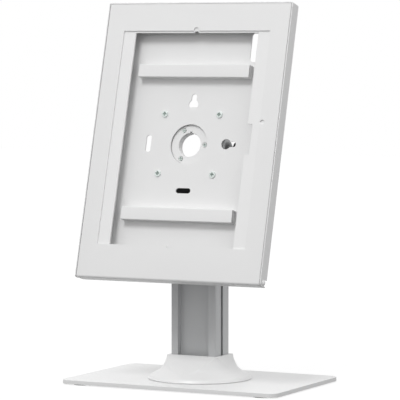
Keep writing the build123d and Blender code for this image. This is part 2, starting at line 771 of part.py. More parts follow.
def strip_outline(side):
    """One side strip, seen from the front: side is 1 for the right and -1 for the left."""
    with Locations((side * (strip_inner_x + strip_outer_x) / 2, (strip_top - strip_bottom) / 2)):
        Rectangle(strip_outer_x - strip_inner_x, strip_top + strip_bottom)


with BuildPart() as left_strip:
    with BuildSketch(behind(cover_sheet)):
        strip_outline(-1)
    extrude(amount=-strip_thickness)

with BuildPart() as right_strip:
    with BuildSketch(behind(cover_sheet)):
        strip_outline(1)
        with Locations((strip_inner_x, (strip_notch_high - strip_notch_low) / 2)):
            RectangleRounded(
                2 * strip_notch_depth,
                strip_notch_high + strip_notch_low,
                bend_radius,
                mode=Mode.SUBTRACT,
            )
    extrude(amount=-strip_thickness)


# Each bar is a folded channel whose open side faces the tray's back sheet
with BuildPart() as upper_bar:
    with BuildSketch(side_on(-bar_length / 2)):
        with Locations(((bar_front_depth + back_inner) / 2, bar_offset)):
            Rectangle(back_inner - bar_front_depth, bar_width)
        with Locations(((bar_front_depth + bar_sheet + back_inner) / 2, bar_offset)):
            Rectangle(back_inner - bar_front_depth - bar_sheet, bar_width - 2 * bar_sheet, mode=Mode.SUBTRACT)
    extrude(amount=bar_length)
    fillet(upper_bar.edges().filter_by(Axis.X).group_by(panel_out)[-1], bend_radius - edge_break)

with BuildPart() as lower_bar:
    add(upper_bar.part.translate(panel.y_dir * (-2 * bar_offset)))

with BuildPart() as bar_posts:
    with BuildSketch(behind(bar_front_depth + bar_sheet)):
        with GridLocations(2 * bar_screw_x, 2 * bar_offset, 2, 2):
            Circle(bar_post_diameter / 2)
    extrude(amount=-(back_inner - bar_front_depth - bar_sheet))
    with BuildSketch(behind(back_inner)):
        with GridLocations(2 * bar_screw_x, 2 * bar_offset, 2, 2):
            Circle(bar_screw_diameter / 2)
    extrude(amount=bar_screw_grip, mode=Mode.SUBTRACT)

with BuildPart() as bar_screws:
    with BuildSketch(facing_back(tray_depth)):
        with GridLocations(2 * bar_screw_x, 2 * bar_offset, 2, 2):
            Circle(bar_screw_head / 2)
    extrude(amount=bar_screw_rise)
    fillet(bar_screws.edges().group_by(panel_out)[0], bar_screw_rise / 3)
    with BuildSketch(facing_back(tray_depth)):
        with GridLocations(2 * bar_screw_x, 2 * bar_offset, 2, 2):
            Circle(bar_screw_diameter / 2)
    extrude(amount=-(tray_back_thickness + bar_screw_grip))
    with BuildSketch(facing_back(tray_depth + bar_screw_rise)):
        with GridLocations(2 * bar_screw_x, 2 * bar_offset, 2, 2):
            Rectangle(cross_length, cross_width)
            Rectangle(cross_width, cross_length)
    extrude(amount=-cross_depth, mode=Mode.SUBTRACT)

# Cam lock in the tray's back sheet
lock_rear = tray_depth + lock_head_rise
plug_front = lock_barrel_front - running_gap

with BuildPart() as lock_body:
    with BuildSketch(behind(lock_barrel_front)):
        with Locations((lock_x, lock_y)):
            Circle(lock_barrel_diameter / 2)
    extrude(amount=-(tray_depth - lock_barrel_front))
    with BuildSketch(behind(tray_depth)):
        with Locations((lock_x, lock_y)):
            Circle(lock_head_diameter / 2)
    extrude(amount=-lock_head_rise)
    fillet(lock_body.edges().group_by(panel_out)[0], edge_break)
    with BuildSketch(behind(lock_barrel_front)):
        with Locations((lock_x, lock_y)):
            Circle(plug_diameter / 2)
    extrude(amount=-(lock_rear - lock_barrel_front), mode=Mode.SUBTRACT)

with BuildPart() as lock_nut:
    with BuildSketch(behind(back_inner)):
        with Locations((lock_x, lock_y)):
            RegularPolygon(lock_nut_width / 2, 6, major_radius=False)
            Circle(lock_barrel_diameter / 2, mode=Mode.SUBTRACT)
    extrude(amount=lock_nut_height)

with BuildPart() as lock_plug:
    with BuildSketch(behind(plug_front)):
        with Locations((lock_x, lock_y)):
            Circle(plug_diameter / 2 - running_gap / 2)
            Circle(cam_screw_diameter / 2, mode=Mode.SUBTRACT)
    extrude(amount=-cam_screw_length)
    with BuildSketch(behind(plug_front + cam_screw_length)):
        with Locations((lock_x, lock_y)):
            Circle(plug_diameter / 2 - running_gap / 2)
    extrude(amount=-(lock_rear - plug_recess - plug_front - cam_screw_length))
    with BuildSketch(facing_back(lock_rear - plug_recess)):
        with Locations((-lock_x, lock_y)):
            Rectangle(key_slot_length, key_slot_width)
    extrude(amount=-key_slot_depth, mode=Mode.SUBTRACT)

with BuildPart() as lock_cam:
    with BuildSketch(behind(plug_front)):
        with Locations((lock_x, lock_y)):
            Circle(cam_width / 2)
        with Locations((lock_x - (cam_reach - cam_width / 2) / 2, lock_y)):
            Rectangle(cam_reach - cam_width / 2, cam_width)
        with Locations((lock_x - cam_reach + cam_width / 2, lock_y)):
            Circle(cam_width / 2)
        with Locations((lock_x, lock_y)):
            Circle(cam_screw_diameter / 2, mode=Mode.SUBTRACT)
    extrude(amount=cam_thickness)

with BuildPart() as cam_screw:
    with BuildSketch(behind(plug_front - cam_thickness)):
        with Locations((lock_x, lock_y)):
            Circle(cam_screw_head / 2)
    extrude(amount=cam_screw_rise)
    with BuildSketch(behind(plug_front - cam_thickness)):
        with Locations((lock_x, lock_y)):
            Circle(cam_screw_diameter / 2)
    extrude(amount=-(cam_thickness + cam_screw_length))
    with BuildSketch(behind(plug_front - cam_thickness - cam_screw_rise)):
        with Locations((lock_x, lock_y)):
            Rectangle(cross_length - cross_width, cross_width)
            Rectangle(cross_width, cross_length - cross_width)
    extrude(amount=-cam_screw_rise / 2, mode=Mode.SUBTRACT)

# Every piece under the name that it is kept by
pieces = {
    "base_plate": base_plate,
    "rubber_feet": rubber_feet,
    "column_profile": column_profile,
    "column_skirt": column_skirt,
    "column_base_screws": column_base_screws,
    "tilt_head": tilt_head,
    "tilt_head_screws": tilt_head_screws,
    "pivot_bolts": pivot_bolts,
    "nylon_washers": nylon_washers,
    "pivot_washers": pivot_washers,
    "left_knob": left_knob,
    "clamp_lever": clamp_lever,
    "tilt_bracket": tilt_bracket,
    "hub_ring": hub_ring,
    "hub_screws": hub_screws,
    "friction_rings": friction_rings,
    "turn_stop_pin": turn_stop_pin,
    "vesa_plate": vesa_plate,
    "vesa_screws": vesa_screws,
    "vesa_nuts": vesa_nuts,
    "back_tray": back_tray,
    "cover_hinge_rivets": cover_hinge_rivets,
    "front_cover": front_cover,
    "left_strip": left_strip,
    "right_strip": right_strip,
    "upper_bar": upper_bar,
    "lower_bar": lower_bar,
    "bar_posts": bar_posts,
    "bar_screws": bar_screws,
    "lock_body": lock_body,
    "lock_nut": lock_nut,
    "lock_plug": lock_plug,
    "lock_cam": lock_cam,
    "cam_screw": cam_screw,
}
for name, piece in pieces.items():
    piece.part.label = name
    export_step(piece.part, f"parts/{name}.step")
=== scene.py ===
"""Finishes of the tablet kiosk stand: a white steel enclosure that tilts and turns on an aluminium column."""

import json
from math import acos, copysign, cos, hypot, pi, radians, sin, sqrt

import bmesh
import bpy
from mathutils import Matrix, Vector

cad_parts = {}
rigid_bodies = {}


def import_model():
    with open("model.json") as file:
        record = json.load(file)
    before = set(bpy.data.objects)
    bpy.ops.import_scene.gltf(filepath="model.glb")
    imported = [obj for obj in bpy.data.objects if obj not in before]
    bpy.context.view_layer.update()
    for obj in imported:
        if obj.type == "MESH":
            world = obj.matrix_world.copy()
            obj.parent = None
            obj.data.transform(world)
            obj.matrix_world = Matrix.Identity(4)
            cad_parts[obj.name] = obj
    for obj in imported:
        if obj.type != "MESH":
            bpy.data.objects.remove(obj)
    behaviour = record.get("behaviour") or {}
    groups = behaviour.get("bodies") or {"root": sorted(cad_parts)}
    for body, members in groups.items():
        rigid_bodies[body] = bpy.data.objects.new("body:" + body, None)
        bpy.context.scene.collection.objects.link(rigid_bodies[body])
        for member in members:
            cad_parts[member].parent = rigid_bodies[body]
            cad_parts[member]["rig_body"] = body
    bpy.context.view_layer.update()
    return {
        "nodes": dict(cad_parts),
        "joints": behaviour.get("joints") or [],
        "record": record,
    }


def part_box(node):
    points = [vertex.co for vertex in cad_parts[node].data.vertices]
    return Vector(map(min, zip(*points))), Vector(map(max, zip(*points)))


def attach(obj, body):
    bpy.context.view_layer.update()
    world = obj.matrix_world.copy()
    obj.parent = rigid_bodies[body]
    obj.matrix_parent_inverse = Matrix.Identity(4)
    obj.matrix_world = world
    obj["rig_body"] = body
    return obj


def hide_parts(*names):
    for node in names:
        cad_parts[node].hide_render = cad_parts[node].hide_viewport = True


bl_info = {
    "name": "Tablet kiosk stand",
    "version": (1, 0, 0),
    "blender": (4, 5, 0),
    "location": "3D View > Sidebar > Kiosk Stand",
    "description": "Dresses the packed stand: powder coated steel, moulded plastic, anodised column, zinc fasteners",
    "category": "Object",
}

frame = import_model()

MM = 0.001
SHARP_DEGREES = 32
BEVEL_DEGREES = 40
joints = {joint["name"]: joint for joint in frame["joints"]}


def slot_class(node):
    """Material slot that the record gives to a node."""
    for row in frame["record"]["subparts"]:
        if row["node"] == node:
            return row["material_slot"]
    raise ValueError(f"no subpart row for {node}")


# The panel's own frame, from the joint that it turns on
panel_origin = Vector(joints["turn"]["pos_m"])
panel_out = Vector(joints["turn"]["axis"]).normalized()
panel_across = Vector((1, 0, 0))
panel_up = panel_out.cross(panel_across)
panel_matrix = Matrix.Translation(panel_origin) @ Matrix((panel_across, panel_up, panel_out)).transposed().to_4x4()


def to_panel_mm(point):
    """A point in millimetres across, up and out of the panel's front face."""
    return (panel_matrix.inverted() @ Vector(point)) / MM


def depth_of(node, far=False):
    """How far behind the panel's front face a node starts, or ends."""
    depths = [(panel_origin - v.co).dot(panel_out) for v in frame["nodes"][node].data.vertices]
    return max(depths) if far else min(depths)


# Colours


def linear(hex_colour):
    """sRGB hex to the linear colour that a shader socket takes."""
    channels = [int(hex_colour[i:i + 2], 16) / 255 for i in (1, 3, 5)]
    return tuple(c / 12.92 if c <= 0.04045 else ((c + 0.055) / 1.055) ** 2.4 for c in channels) + (1.0,)


# Node trees


def put(tree, kind, links=None, **settings):
    """Adds one node: settings are its properties, links are its inputs by name or index."""
    made = tree.nodes.new(kind)
    for key, value in settings.items():
        setattr(made, key, value)
    for key, value in (links or {}).items():
        socket = made.inputs[key]
        if isinstance(value, bpy.types.NodeSocket):
            tree.links.new(value, socket)
        else:
            socket.default_value = value
    return made


def ramp(tree, fac, stops):
    """Colour ramp through (position, colour) stops."""
    made = put(tree, "ShaderNodeValToRGB", {"Fac": fac})
    elements = made.color_ramp.elements
    while len(elements) < len(stops):
        elements.new(1)
    for element, (position, colour) in zip(elements, stops):
        element.position = position
        element.color = colour
    return made.outputs["Color"]


def shaded(hex_colour, share):
    """The colour made darker or lighter by a share."""
    return tuple(min(1.0, c * share) for c in linear(hex_colour)[:3]) + (1.0,)


def new_material(name):
    """Empty material with a Principled shader; returns it, its tree, the shader and object coordinates."""
    material = bpy.data.materials.new(name)
    material.use_nodes = True
    tree = material.node_tree
    tree.nodes.clear()
    shader = put(tree, "ShaderNodeBsdfPrincipled")
    put(tree, "ShaderNodeOutputMaterial", {"Surface": shader.outputs["BSDF"]})
    coordinates = put(tree, "ShaderNodeTexCoord").outputs["Object"]
    return material, tree, shader, coordinates


def grain_material(name, colour, variation, roughness, grain_mm, bump_mm, specular=0.5, metallic=0.0,
                   stretch=(1, 1, 1)):
    """Surface with cloudy colour, uneven gloss and a fine relief of the given grain."""
    cloud_mm, noise_low, noise_high, gloss_swing = 40, 0.3, 0.7, 0.1
    material, tree, shader, coordinates = new_material(name)
    turned = put(tree, "ShaderNodeMapping", {"Vector": coordinates, "Scale": stretch}).outputs["Vector"]
    clouds = put(tree, "ShaderNodeTexNoise", {"Vector": coordinates, "Scale": 1 / (cloud_mm * MM), "Detail": 3.0})
    grain = put(tree, "ShaderNodeTexNoise", {"Vector": turned, "Scale": 1 / (grain_mm * MM), "Detail": 2.0})
    tone = ramp(tree, clouds.outputs["Fac"], (
        (noise_low, shaded(colour, 1 - variation)), (noise_high, shaded(colour, 1 + variation))))
    tree.links.new(tone, shader.inputs["Base Color"])
    gloss = put(tree, "ShaderNodeMapRange", {
        "Value": grain.outputs["Fac"], "From Min": noise_low, "From Max": noise_high,
        "To Min": roughness * (1 - gloss_swing), "To Max": roughness * (1 + gloss_swing)})
    tree.links.new(gloss.outputs["Result"], shader.inputs["Roughness"])
    relief = put(tree, "ShaderNodeBump", {
        "Height": grain.outputs["Fac"], "Strength": 1.0, "Distance": bump_mm * MM})
    tree.links.new(relief.outputs["Normal"], shader.inputs["Normal"])
    shader.inputs["Metallic"].default_value = metallic
    shader.inputs["Specular IOR Level"].default_value = specular
    return material


def make_materials(colours):
    """Every finish of the stand, by the name of the record's material slot."""
    return {
        # Polyester powder coat on sheet steel: baked orange peel, which breaks highlights up softly
        "white_steel": grain_material("polyester_powder_coat", colours["coat"], 0.006, 0.42, 1.4, 0.012),
        # Injection moulded ABS with a fine spark texture, a little glossier than the powder coat
        "skirt_plastic": grain_material("moulded_abs_satin", colours["moulding"], 0.005, 0.34, 0.7, 0.006),
        # Extruded rigid PVC: smooth along the extrusion, with faint draw lines
        "white_plastic": grain_material("extruded_pvc", colours["strip"], 0.006, 0.4, 0.9, 0.006,
                                        stretch=(1, 0.08, 0.08)),
        # Glass filled nylon: charcoal black with a dry, sparkling skin
        "black_nylon": grain_material("glass_filled_nylon", "#141516", 0.12, 0.55, 0.6, 0.02),
        # Turned natural nylon: milky and waxy
        "natural_nylon": grain_material("natural_nylon", "#dedbcd", 0.02, 0.45, 0.5, 0.004),
        # Moulded EPDM rubber: dull black with a bloom
        "foot_rubber": grain_material("moulded_epdm_rubber", "#17181a", 0.15, 0.8, 0.8, 0.03, specular=0.3),
        # Clear anodised aluminium extrusion: die lines run up the column
        "column_aluminium": grain_material("anodised_aluminium_extrusion", colours["column"], 0.015, 0.5, 0.35, 0.004,
                                           metallic=0.1, stretch=(1, 1, 0.01)),
        # Zinc plated and folded steel: bright, faintly clouded plating
        "zinc_steel": grain_material("zinc_plated_sheet", "#9b9c9d", 0.06, 0.36, 0.8, 0.006, metallic=0.9),
        # Zinc plated screws with a blue passivate, which leaves a green to blue cast
        "zinc_screws": grain_material("blue_passivated_zinc", "#dde4e1", 0.05, 0.3, 0.4, 0.004, metallic=0.5),
        # Nickel chrome on the die cast lock: nearly a mirror
        "chrome_lock": grain_material("nickel_chrome_plate", "#c3c6c9", 0.02, 0.14, 0.6, 0.001, metallic=1.0),
    }


materials = {}

# Mesh helpers


def add_object(name, mesh, body, slot_name):
    """Puts a finished mesh into the scene as a piece that rides on a body."""
    piece = bpy.data.objects.new(name, mesh)
    bpy.context.scene.collection.objects.link(piece)
    if not mesh.materials:
        mesh.materials.append(materials[slot_name])
    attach(piece, body)
    return piece


def merged_copy(node, reshape=None):
    """Copy of a CAD node's mesh with its loose triangles joined and its flats made whole.

    A reshape moves points: it takes and returns millimetres across, up and behind the panel's front face.
    """
    weld_distance, reshaped_weld_distance, flat_angle = 0.002 * MM, 0.01 * MM, radians(0.5)
    mesh = frame["nodes"][node].data.copy()
    mesh.materials.clear()
    work = bmesh.new()
    work.from_mesh(mesh)
    bmesh.ops.remove_doubles(work, verts=work.verts, dist=weld_distance)
    bmesh.ops.dissolve_limit(work, angle_limit=flat_angle, verts=work.verts, edges=work.edges)
    if reshape:
        to_panel = panel_matrix.inverted()
        for vertex in work.verts:
            across, up, out = (to_panel @ vertex.co) / MM
            across, up, depth = reshape(across, up, -out)
            vertex.co = panel_matrix @ Vector((across * MM, up * MM, -depth * MM))
        bmesh.ops.remove_doubles(work, verts=work.verts, dist=reshaped_weld_distance)
    work.to_mesh(mesh)
    work.free()
    return mesh


def dressed(node, name, edge_mm=0.0, reshape=None):
    """Smooth copy of a CAD node, with its edges broken, that stands for the node."""
    slot_name = slot_class(node)
    mesh = merged_copy(node, reshape)
    mesh.shade_smooth()
    mesh.set_sharp_from_angle(angle=radians(SHARP_DEGREES))
    piece = add_object(name, mesh, frame["nodes"][node]["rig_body"], slot_name)
    if edge_mm:
        bevel = piece.modifiers.new("broken edge", "BEVEL")
        bevel.width = edge_mm * MM
        bevel.segments = 2
        bevel.limit_method = "ANGLE"
        bevel.angle_limit = radians(BEVEL_DEGREES)
        bevel.harden_normals = True
    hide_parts(node)
    return piece


def baked(piece):
    """The piece with its modifiers applied, as a plain mesh."""
    graph = bpy.context.evaluated_depsgraph_get()
    mesh = bpy.data.meshes.new_from_object(piece.evaluated_get(graph))
    piece.modifiers.clear()
    piece.data = mesh
    return piece


def lathe(work, profile, segments, height_at=None):
    """Turns (radius, height) points about z; height_at(x, y, z) may press a recess into the surface."""
    rings = []
    for radius, height in profile:
        if radius < 1e-7:
            rings.append([work.verts.new((0, 0, height_at(0, 0, height) if height_at else height))])
            continue
        ring = []
        for k in range(segments):
            x, y = radius * cos(2 * pi * k / segments), radius * sin(2 * pi * k / segments)
            ring.append(work.verts.new((x, y, height_at(x, y, height) if height_at else height)))
        rings.append(ring)
    for low, high in zip(rings, rings[1:]):
        for k in range(segments):
            after = (k + 1) % segments
            corners = (low[k % len(low)], low[after % len(low)], high[after % len(high)], high[k % len(high)])
            corners = list(dict.fromkeys(corners))
            if len(corners) > 2:
                work.faces.new(corners)


def closed_mesh(name, work, sharp_degrees=SHARP_DEGREES):
    """Finished mesh with its faces outwards and its hard edges kept sharp."""
    bmesh.ops.recalc_face_normals(work, faces=work.faces)
    mesh = bpy.data.meshes.new(name)
    work.to_mesh(mesh)
    work.free()
    mesh.shade_smooth()
    mesh.set_sharp_from_angle(angle=radians(sharp_degrees))
    return mesh


def screw_template(name, head, rise, shank, length, recess="cross", broad=1.0):
    """Screw along z with its seat at zero; a rise of zero gives a countersunk head, flush with the seat."""
    head_radius, shank_radius, segments, steps = head / 2, shank / 2, 64, 26
    longest_arm = 2.6 * MM
    cross_arm, cross_half, press = min(0.34 * head * broad, longest_arm), 0.1 * head * broad, 0.6 * head
    hexagon_half, hexagon_depth, wall_run = 0.19 * head, 0.3 * head, 0.02 * head

    def pressed(x, y, z):
        if z < rise * 0.5 - 1e-9:
            return z
        across, along = sorted((abs(x), abs(y)))
        if recess == "cross":
            # The arms taper and rise towards their ends
            inside = min((cross_half * (1.6 - 0.6 * along / cross_arm) - across) / wall_run,
                         (cross_arm - along) / (0.05 * head))
            depth = press * (1 - 0.6 * along / cross_arm)
        else:
            flat = max(abs(x), abs(x) / 2 + abs(y) * sqrt(3) / 2)
            inside, depth = (hexagon_half - flat) / wall_run, hexagon_depth
        return z - depth * max(0.0, min(1.0, inside))

    top = [(head_radius * k / steps, rise - 0.12 * rise * (k / steps) ** 2) for k in range(steps - 1)]
    top[0] = (0, rise)
    if rise:
        rim = [(head_radius * (1 - 0.05), rise * 0.8), (head_radius * (1 - 0.012), rise * 0.62),
               (head_radius, rise * 0.4), (head_radius, 0)]
        under = [(shank_radius, 0)]
    else:
        rim = [(head_radius, 0), (head_radius, -0.02 * head)]
        under = [(shank_radius, -(head_radius - shank_radius))]
    tail = [(shank_radius, -length + 0.15 * shank), (shank_radius * 0.82, -length), (0, -length)]
    work = bmesh.new()
    lathe(work, top + rim + under + tail, segments, pressed)
    return closed_mesh(name, work)


def nut_template(name, width, height, bore):
    """Hexagon nut whose corners are turned down on its outer face, seat at zero."""
    work = bmesh.new()
    segments, corner_share, sharp_degrees = 72, 1.155, 25
    rings = []
    for level, share in ((0, 1.0), (height * 0.88, 1.0), (height, 0.955), (height, None), (0, None)):
        ring = []
        for k in range(segments):
            angle = 2 * pi * k / segments
            flat = width / 2 / cos((angle + pi / 6) % (pi / 3) - pi / 6)
            radius = bore / 2 if share is None else min(flat, width / 2 * corner_share * share)
            ring.append(work.verts.new((radius * cos(angle), radius * sin(angle), level)))
        rings.append(ring)
    for low, high in zip(rings, rings[1:] + rings[:1]):
        for k in range(segments):
            after = (k + 1) % segments
            work.faces.new((low[k], low[after], high[after], high[k]))
    return closed_mesh(name, work, sharp_degrees)


def pattern_tree(name, round_pattern):
    """Node group that repeats its input geometry on a two by two grid, or round a circle."""
    tree = bpy.data.node_groups.new(name, "GeometryNodeTree")
    panel = tree.interface
    panel.new_socket(name="Geometry", in_out="INPUT", socket_type="NodeSocketGeometry")
    if round_pattern:
        panel.new_socket(name="Circle radius", in_out="INPUT", socket_type="NodeSocketFloat")
        panel.new_socket(name="Count", in_out="INPUT", socket_type="NodeSocketInt")
    else:
        panel.new_socket(name="Pitch across", in_out="INPUT", socket_type="NodeSocketFloat")
        panel.new_socket(name="Pitch up", in_out="INPUT", socket_type="NodeSocketFloat")
    panel.new_socket(name="Material", in_out="INPUT", socket_type="NodeSocketMaterial")
    panel.new_socket(name="Geometry", in_out="OUTPUT", socket_type="NodeSocketGeometry")
    given = put(tree, "NodeGroupInput").outputs
    if round_pattern:
        points = put(tree, "GeometryNodeMeshCircle", {"Radius": given["Circle radius"], "Vertices": given["Count"]})
    else:
        points = put(tree, "GeometryNodeMeshGrid", {
            "Size X": given["Pitch across"], "Size Y": given["Pitch up"], "Vertices X": 2, "Vertices Y": 2})
    copies = put(tree, "GeometryNodeInstanceOnPoints", {
        "Points": points.outputs["Mesh"], "Instance": given["Geometry"]})
    real = put(tree, "GeometryNodeRealizeInstances", {"Geometry": copies.outputs["Instances"]})
    finish = put(tree, "GeometryNodeSetMaterial", {
        "Geometry": real.outputs["Geometry"], "Material": given["Material"]})
    put(tree, "NodeGroupOutput", {"Geometry": finish.outputs["Geometry"]})
    return tree


def repeated(node, name, template, placement, grid=None, ring=None):
    """Copies of a template at a pattern's points, placed by a matrix, that stand for a CAD node."""
    slot_name = slot_class(node)
    piece = bpy.data.objects.new(name, template)
    bpy.context.scene.collection.objects.link(piece)
    tree = pattern_tree(f"{name}_pattern", ring is not None)
    modifier = piece.modifiers.new("pattern", "NODES")
    modifier.node_group = tree
    values = dict(zip(("Circle radius", "Count"), ring)) if ring else dict(zip(("Pitch across", "Pitch up"), grid))
    values["Material"] = materials[slot_name]
    for item in tree.interface.items_tree:
        if item.in_out == "INPUT" and item.name in values:
            modifier[item.identifier] = values[item.name]
    piece = baked(piece)
    piece.data.transform(placement)
    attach(piece, frame["nodes"][node]["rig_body"])
    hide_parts(node)
    return piece


def facing_front(depth):
    """Placement on the panel at this depth, with z out of the front."""
    return panel_matrix @ Matrix.Translation((0, 0, -depth))


def facing_back(depth):
    """Placement on the panel at this depth, with z to the rear."""
    return facing_front(depth) @ Matrix.Rotation(pi, 4, "X")


def smooth_through(points, x):
    """Value at x of a smooth, rising or falling curve through the points."""
    k = max(i for i in range(len(points) - 1) if points[i][0] <= x or i == 0)
    (x0, y0), (x1, y1) = points[k], points[k + 1]

    def slope(i):
        if i in (0, len(points) - 1):
            near = 1 if i == 0 else i
            return (points[near][1] - points[near - 1][1]) / (points[near][0] - points[near - 1][0])
        before = (points[i][1] - points[i - 1][1]) / (points[i][0] - points[i - 1][0])
        after = (points[i + 1][1] - points[i][1]) / (points[i + 1][0] - points[i][0])
        return 0.0 if before * after <= 0 else 2 * before * after / (before + after)

    width = x1 - x0
    s = (x - x0) / width
    return (y0 * (1 + 2 * s) * (1 - s) ** 2 + slope(k) * width * s * (1 - s) ** 2
            + y1 * s * s * (3 - 2 * s) + slope(k + 1) * width * s * s * (s - 1))


class StandOperator:
    """What the operators share."""

    bl_options = {"REGISTER", "UNDO"}


class KIOSK_PG_colours(bpy.types.PropertyGroup):
    coat: bpy.props.StringProperty(name="Powder coat", description="Colour of the coated steel, sRGB hex",
                                   default="#e8e8e8")
    moulding: bpy.props.StringProperty(name="Moulding", description="Colour of the column skirt, sRGB hex",
                                       default="#e2e2e2")
    strip: bpy.props.StringProperty(name="Strips", description="Colour of the strips beside the tablet, sRGB hex",
                                    default="#ebebeb")
    column: bpy.props.StringProperty(name="Column", description="Colour of the anodised column, sRGB hex",
                                     default="#bcbdbe")


class KIOSK_PG_sizes(bpy.types.PropertyGroup):
    mounting_pitch: bpy.props.FloatProperty(name="Mounting pitch", description="Side of the mounting screws' square",
                                            default=0.075, unit="LENGTH")
    mounting_head: bpy.props.FloatProperty(name="Mounting screw head", description="Diameter of the pan heads",
                                           default=0.0084, unit="LENGTH")
    hub_circle: bpy.props.FloatProperty(name="Hub screw circle", description="Radius that the hub screws stand on",
                                        default=0.0205, unit="LENGTH")
    bar_pitch: bpy.props.FloatVectorProperty(name="Bar screws", description="Pitch of the bar screws, across and up",
                                             size=2, default=(0.104, 0.18), unit="LENGTH")
    column_pitch: bpy.props.FloatVectorProperty(name="Column screws", description="Pitch of the column's screw ports",
                                                size=2, default=(0.0508, 0.0264), unit="LENGTH")
    foot_pitch: bpy.props.FloatVectorProperty(name="Feet", description="Pitch of the feet", size=2,
                                              default=(0.246, 0.148), unit="LENGTH")
    foot_diameter: bpy.props.FloatProperty(name="Foot", description="Diameter of a foot", default=0.028,
                                           unit="LENGTH")
    skirt_diameter: bpy.props.FloatProperty(name="Skirt", description="Diameter of the skirt's rim", default=0.1296,
                                            unit="LENGTH")
    skirt_height: bpy.props.FloatProperty(name="Skirt height", description="Height of the skirt", default=0.03,
                                          unit="LENGTH")


class KIOSK_PG_stage(bpy.types.PropertyGroup):
    key_power: bpy.props.FloatProperty(name="Key lamp", description="Power of the large lamp", default=130.0,
                                       unit="POWER")
    side_power: bpy.props.FloatProperty(name="Side lamp", description="Power of the lamp at the right", default=7.0,
                                        unit="POWER")
    horizon: bpy.props.FloatProperty(name="Horizon light", description="Strength of the sky at the horizon",
                                     default=0.72)
    zenith: bpy.props.FloatProperty(name="Overhead light", description="Strength of the sky overhead", default=0.92)
    floor_size: bpy.props.FloatProperty(name="Floor", description="Side of the floor", default=12.0, unit="LENGTH")


class KIOSK_OT_base(StandOperator, bpy.types.Operator):
    """Base plate, feet and the screws beneath"""

    bl_idname = "kiosk.base"
    bl_label = "Base plate and feet"

    def execute(self, context):
        sizes = context.scene.kiosk_sizes
        dressed("base_plate", "base_plate_coated", 0.5)
        foot_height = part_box("rubber_feet")[1][2]
        repeated("rubber_feet", "moulded_feet", self.foot(sizes.foot_diameter / 2, foot_height), Matrix(),
                 grid=sizes.foot_pitch)
        low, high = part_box("column_base_screws")
        flush = Matrix.Translation((0, 0, low[2])) @ Matrix.Rotation(pi, 4, "X")
        head, shank = 10 * MM, 5 * MM
        repeated("column_base_screws", "plate_screws",
                 screw_template("plate_screw", head, 0, shank, high[2] - low[2], "socket"),
                 flush, grid=sizes.column_pitch)
        return {"FINISHED"}

    def foot(self, radius, height):
        """Rubber foot: a dished disc with a raised rim and two gripping rings beneath."""
        work = bmesh.new()
        dish, slope, rim_chamfer, segments = 0.45 * MM, 0.04, 0.3 * MM, 72
        profile = [(0, dish)]
        for inner, outer in ((0.34, 0.42), (0.66, 0.74)):
            profile += [((inner - slope) * radius, dish), (inner * radius, 0),
                        (outer * radius, 0), ((outer + slope) * radius, dish)]
        rim_inner, rim_outer = 0.9, 0.97
        profile += [((rim_inner - slope) * radius, dish), (rim_inner * radius, 0), (rim_outer * radius, 0),
                    (radius, rim_chamfer), (radius, height), (0, height)]
        lathe(work, profile, segments)
        return closed_mesh("foot", work)


